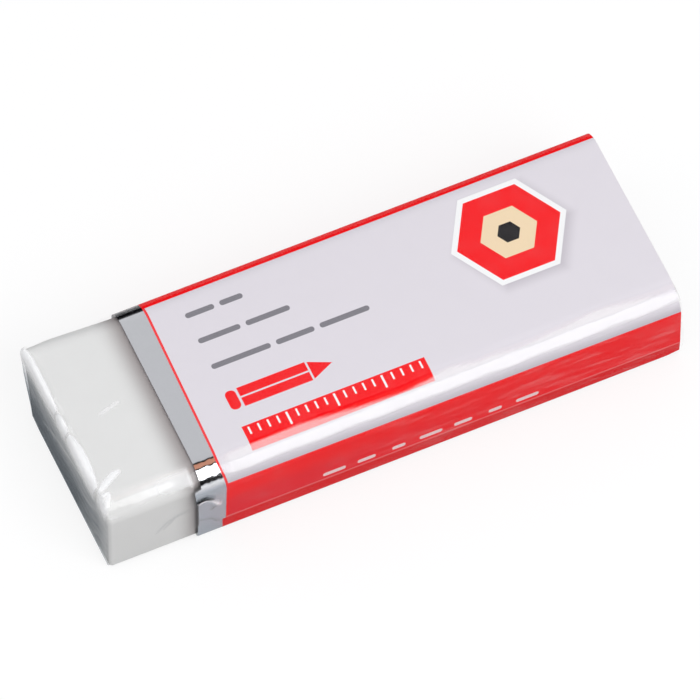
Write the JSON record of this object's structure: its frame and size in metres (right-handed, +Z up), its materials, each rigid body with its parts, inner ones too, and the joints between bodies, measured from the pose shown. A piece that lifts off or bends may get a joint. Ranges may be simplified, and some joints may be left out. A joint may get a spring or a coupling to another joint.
{
  "type": "rubber eraser",
  "caption": "White block eraser with rounded long edges in a printed, foil-faced card sleeve that leaves one end bare, wrapped in clear folded film.",
  "frame": {"origin": "middle of the wrapped eraser's footprint, on the surface that it lies on", "axes": "+X along the length, away from the bare end; +Y towards the film's lap, away from the card's glued seam; +Z up"},
  "size_m": [0.0604, 0.0222, 0.0108],
  "materials": {
    "white_vinyl": "matte white vinyl rubber",
    "printed_card": "silver foil-faced card printed in pale grey and red",
    "clear_film": "clear glossy film"
  },
  "bodies": {
    "root": {"eraser_block": "white_vinyl", "card_sleeve": "printed_card", "film_wrap": "clear_film"}
  },
  "joints": []
}
